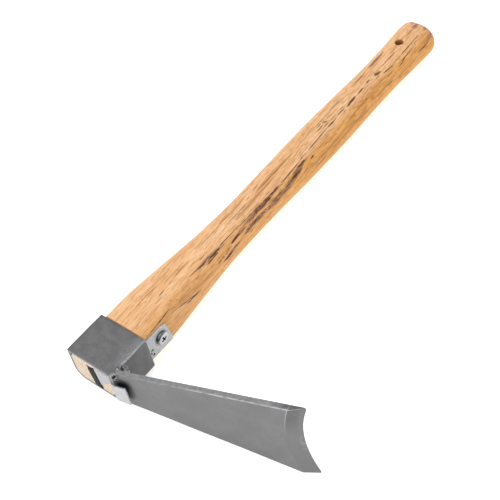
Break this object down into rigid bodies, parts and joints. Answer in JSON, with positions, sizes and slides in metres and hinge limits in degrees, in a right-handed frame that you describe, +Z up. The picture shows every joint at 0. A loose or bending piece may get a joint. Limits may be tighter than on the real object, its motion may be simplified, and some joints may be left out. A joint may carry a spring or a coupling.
{
  "type": "adze",
  "caption": "Short-handled hand adze: long flared blade with a crescent cutting edge, welded to a rectangular eye, on a round wooden handle held by a wedge, a shim and a screwed strap.",
  "frame": {"origin": "centre of the bounding box in plan, on the surface the tool lies on", "axes": "the tool lies on its side; +Y runs along the handle from the eye to the end of the hand-hold, +X from the handle towards the cutting edge, +Z up across the blade's width"},
  "size_m": [0.1901, 0.4034, 0.0794],
  "materials": {
    "handle_wood": "smooth oiled wood with fine brown grain",
    "wedge_iron": "dark oxidised iron",
    "collar_steel": "dark satin with light scratches",
    "blade_steel": "even satin grey",
    "weld_steel": "rough weld with soot",
    "galvanised_sheet": "bright speckled zinc",
    "screw_zinc": "bright zinc plating"
  },
  "bodies": {
    "root": {"handle": "handle_wood", "end_wedge": "wedge_iron", "eye_collar": "collar_steel", "blade": "blade_steel", "weld_bead": "weld_steel", "retaining_strap": "galvanised_sheet", "shim_plate": "galvanised_sheet", "strap_screw": "screw_zinc"}
  },
  "joints": []
}
